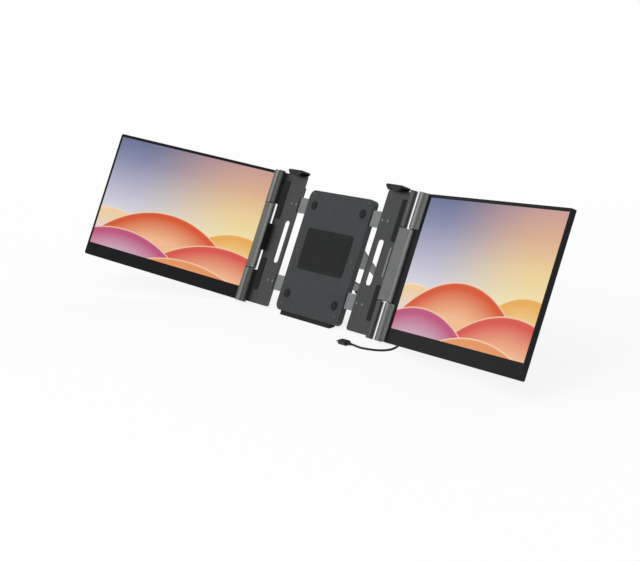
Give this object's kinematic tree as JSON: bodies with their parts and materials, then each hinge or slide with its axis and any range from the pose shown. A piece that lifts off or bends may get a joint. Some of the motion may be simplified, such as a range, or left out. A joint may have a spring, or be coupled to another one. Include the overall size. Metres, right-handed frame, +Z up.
{
  "type": "laptop screen extender",
  "caption": "Clip-on laptop screen extender: a back frame with sliding side claws, top hooks and a kickstand carries a folding monitor on each side by two-pivot hinges.",
  "frame": {"origin": "centre of the sole of the frame's rubber foot, on the table", "axes": "+X along the frame to the user's right, +Y away from the user, +Z up from the table"},
  "size_m": [1.0978, 0.2492, 0.258],
  "materials": {
    "hinge_metal": "bead-blasted and anodised mid grey",
    "steel": "ground steel",
    "screws": "black-zinc screw heads",
    "frame_shell": "fine moulded texture, dark grey",
    "guide_plastic": "plain moulded acetal",
    "hook": "fine moulded texture, dark green-grey",
    "silicone": "soft matt silicone",
    "rubber_foot": "matt rubber",
    "kickstand_metal": "bead-blasted and anodised dark grey",
    "monitor_cover": "fine moulded texture, black",
    "bezel": "smooth satin black",
    "screen": "satin display glass with a lit picture",
    "lcd": "display module in its thin metal frame",
    "board": "green solder mask",
    "port_metal": "plated port shells",
    "button": "moulded button",
    "cable": "matt cable jacket",
    "plug": "overmoulded plug"
  },
  "bodies": {
    "frame": {"front_plate": "frame_shell", "back_shell": "frame_shell", "lid_pad": "silicone", "frame_foot": "rubber_foot", "guide_blocks": "guide_plastic", "frame_screws": "screws", "kickstand_pin": "steel"},
    "kickstand": {"kickstand": "kickstand_metal", "kickstand_foot": "rubber_foot"},
    "left_carriage": {"left_side_plate": "hinge_metal", "left_slide_bars": "steel", "left_plate_pads": "silicone", "left_side_claw": "hinge_metal", "left_claw_pad": "silicone", "left_claw_screws": "screws", "left_hook_guide": "frame_shell", "left_frame_pin": "steel"},
    "left_hook": {"left_top_hook": "hook", "left_hook_pad": "silicone"},
    "left_link": {"left_hinge_link": "hinge_metal", "left_hinge_washers": "steel"},
    "left_monitor": {"left_monitor_pin": "steel", "left_upper_leaf": "hinge_metal", "left_lower_leaf": "hinge_metal", "left_leaf_screws": "screws", "left_rear_cover": "monitor_cover", "left_front_bezel": "bezel", "left_screen_glass": "screen", "left_lcd_module": "lcd", "left_driver_board": "board"},
    "right_carriage": {"right_side_plate": "hinge_metal", "right_slide_bars": "steel", "right_plate_pads": "silicone", "right_side_claw": "hinge_metal", "right_claw_pad": "silicone", "right_claw_screws": "screws", "right_hook_guide": "frame_shell", "right_frame_pin": "steel"},
    "right_hook": {"right_top_hook": "hook", "right_hook_pad": "silicone"},
    "right_link": {"right_hinge_link": "hinge_metal", "right_hinge_washers": "steel"},
    "right_monitor": {"right_monitor_pin": "steel", "right_upper_leaf": "hinge_metal", "right_lower_leaf": "hinge_metal", "right_leaf_screws": "screws", "right_rear_cover": "monitor_cover", "right_front_bezel": "bezel", "right_screen_glass": "screen", "right_lcd_module": "lcd", "electronics_cover": "monitor_cover", "control_board": "board", "port_shells": "port_metal", "usb_cable": "cable", "monitor_plug": "plug", "laptop_plug": "plug"},
    "power_button": {"power_button": "button"},
    "plus_button": {"plus_button": "button"},
    "minus_button": {"minus_button": "button"}
  },
  "joints": [
    {"name": "kickstand_hinge", "type": "hinge", "parent": "frame", "child": "kickstand", "pos_m": [0, 0.07437, 0.11227], "axis": [-1, 0, 0], "range_deg": [-20, 57.73]},
    {"name": "left_slide", "type": "slide", "parent": "frame", "child": "left_carriage", "axis": [-1, 0, 0], "range_m": [-0.024, 0.028]},
    {"name": "left_hook_slide", "type": "slide", "parent": "left_carriage", "child": "left_hook", "axis": [0, 0.4985, 0.8669], "range_m": [0, 0.03]},
    {"name": "left_link_hinge", "type": "hinge", "parent": "left_carriage", "child": "left_link", "pos_m": [-0.179, 0.0473, 0.10131], "axis": [0, 0.4985, 0.8669], "range_deg": [0, 25.5]},
    {"name": "left_monitor_hinge", "type": "hinge", "parent": "left_link", "child": "left_monitor", "pos_m": [-0.19176, 0.04817, 0.10081], "axis": [0, 0.4985, 0.8669], "range_deg": [-20.9, 133.6]},
    {"name": "right_slide", "type": "slide", "parent": "frame", "child": "right_carriage", "axis": [1, 0, 0], "range_m": [-0.024, 0.028]},
    {"name": "right_hook_slide", "type": "slide", "parent": "right_carriage", "child": "right_hook", "axis": [0, 0.4985, 0.8669], "range_m": [0, 0.03]},
    {"name": "right_link_hinge", "type": "hinge", "parent": "right_carriage", "child": "right_link", "pos_m": [0.179, 0.0473, 0.10131], "axis": [0, -0.4985, -0.8669], "range_deg": [0, 100]},
    {"name": "right_monitor_hinge", "type": "hinge", "parent": "right_link", "child": "right_monitor", "pos_m": [0.19692, 0.05004, 0.09973], "axis": [0, -0.4985, -0.8669], "range_deg": [-8.4, 71.6]},
    {"name": "power_button_press", "type": "slide", "parent": "right_monitor", "child": "power_button", "axis": [-0.9893, 0.1266, -0.0728], "range_m": [0, 0.0006], "stiffness_N_per_m": 1500},
    {"name": "plus_button_press", "type": "slide", "parent": "right_monitor", "child": "plus_button", "axis": [-0.9893, 0.1266, -0.0728], "range_m": [0, 0.0006], "stiffness_N_per_m": 1500},
    {"name": "minus_button_press", "type": "slide", "parent": "right_monitor", "child": "minus_button", "axis": [-0.9893, 0.1266, -0.0728], "range_m": [0, 0.0006], "stiffness_N_per_m": 1500}
  ]
}
